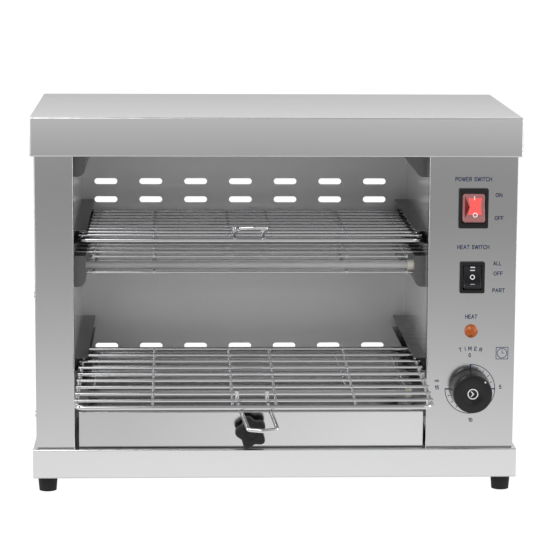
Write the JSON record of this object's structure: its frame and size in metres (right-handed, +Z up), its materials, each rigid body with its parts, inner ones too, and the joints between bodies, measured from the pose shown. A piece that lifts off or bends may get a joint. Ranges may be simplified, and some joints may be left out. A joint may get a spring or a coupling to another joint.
{
  "type": "commercial toaster",
  "caption": "Counter-top commercial toaster with an open front, wire racks on runners, quartz heating tubes, crumb tray and a side control panel.",
  "frame": {"origin": "on the counter, under the middle of the bounding box, the drawn-out lower rack included", "axes": "+X to the right seen from the front, +Z up, the front faces -Y"},
  "size_m": [0.49, 0.4063, 0.381],
  "materials": {
    "brushed_steel": "satin, brushed",
    "brushed_hood": "satin, brushed",
    "mirror_steel": "bright rolled steel, polished",
    "satin_steel": "satin",
    "zinc_steel": "zinc plated steel",
    "chrome_wire": "bright chrome plate",
    "quartz": "translucent, milky",
    "ceramic": "glazed white ceramic",
    "heater_wire": "oxidised resistance wire",
    "black_plastic": "satin black",
    "red_plastic": "translucent, lit red",
    "amber_plastic": "translucent amber",
    "white_plastic": "matt",
    "brass": "tinned brass",
    "lead_sleeve": "woven glass sleeve over the wire",
    "rubber": "matt"
  },
  "bodies": {
    "cabinet": {"base_pan": "brushed_steel", "bottom_plate": "zinc_steel", "cable_gland": "black_plastic", "cavity_ceiling": "mirror_steel", "cavity_left_wall": "mirror_steel", "cavity_right_wall": "mirror_steel", "control_panel": "brushed_steel", "foot_front_left": "rubber", "foot_front_right": "rubber", "foot_nuts": "zinc_steel", "foot_rear_left": "rubber", "foot_rear_right": "rubber", "foot_screws": "zinc_steel", "gland_nut": "black_plastic", "heat_switch_body": "black_plastic", "heating_coils": "heater_wire", "hood": "brushed_hood", "lamp_body": "white_plastic", "lamp_lens": "amber_plastic", "leads": "lead_sleeve", "left_side_panel": "brushed_steel", "low_guard": "chrome_wire", "low_heating_tubes": "quartz", "low_left_bracket": "satin_steel", "low_right_bracket": "satin_steel", "lower_left_runner": "satin_steel", "lower_right_runner": "satin_steel", "middle_heating_tubes": "quartz", "middle_left_bracket": "satin_steel", "middle_lower_guard": "chrome_wire", "middle_right_bracket": "satin_steel", "middle_upper_guard": "chrome_wire", "power_switch_body": "black_plastic", "rear_panel": "brushed_steel", "rear_screws": "zinc_steel", "right_side_panel": "brushed_steel", "side_screws": "zinc_steel", "switch_terminals": "brass", "terminal_block": "white_plastic", "timer_body": "white_plastic", "top_guard": "chrome_wire", "top_heating_tubes": "quartz", "top_left_bracket": "satin_steel", "top_right_bracket": "satin_steel", "tube_caps": "ceramic", "tube_pins": "zinc_steel", "upper_left_runner": "satin_steel", "upper_right_runner": "satin_steel"},
    "upper_rack": {"upper_rack": "chrome_wire"},
    "lower_rack": {"lower_rack": "chrome_wire"},
    "upper_handle": {"upper_rack_handle": "chrome_wire"},
    "lower_handle": {"lower_rack_handle": "chrome_wire"},
    "crumb_drawer": {"crumb_tray": "brushed_steel", "tray_knob": "black_plastic", "tray_knob_stud": "zinc_steel"},
    "power_rocker": {"power_rocker": "red_plastic"},
    "heat_rocker": {"heat_rocker": "black_plastic"},
    "timer_dial": {"timer_knob": "black_plastic", "timer_shaft": "zinc_steel"}
  },
  "joints": [
    {"name": "upper_rack_slide", "type": "slide", "parent": "cabinet", "child": "upper_rack", "axis": [0, -1, 0], "range_m": [0, 0.13]},
    {"name": "lower_rack_swing", "type": "hinge", "parent": "cabinet", "child": "lower_rack", "pos_m": [-0.025, 0.05675, -1.38375], "axis": [1, 0, 0], "range_deg": [-5.1, 0]},
    {"name": "upper_handle_hinge", "type": "hinge", "parent": "upper_rack", "child": "upper_handle", "pos_m": [-0.027, -0.02975, 0.2583], "axis": [1, 0, 0], "range_deg": [-5, 17]},
    {"name": "lower_handle_hinge", "type": "hinge", "parent": "lower_rack", "child": "lower_handle", "pos_m": [-0.027, -0.16403, 0.11701], "axis": [1, 0, 0], "range_deg": [0, 40]},
    {"name": "crumb_tray_slide", "type": "slide", "parent": "cabinet", "child": "crumb_drawer", "axis": [0, -1, 0], "range_m": [0, 0.2]},
    {"name": "power_rocker_hinge", "type": "hinge", "parent": "cabinet", "child": "power_rocker", "pos_m": [0.197, -0.05775, 0.2897], "axis": [1, 0, 0], "range_deg": [0, 14]},
    {"name": "heat_rocker_hinge", "type": "hinge", "parent": "cabinet", "child": "heat_rocker", "pos_m": [0.197, -0.05775, 0.2196], "axis": [1, 0, 0], "range_deg": [0, 14]},
    {"name": "timer_dial_turn", "type": "hinge", "parent": "cabinet", "child": "timer_dial", "pos_m": [0.197, -0.05875, 0.105], "axis": [0, 1, 0], "range_deg": [-45, 225]}
  ]
}
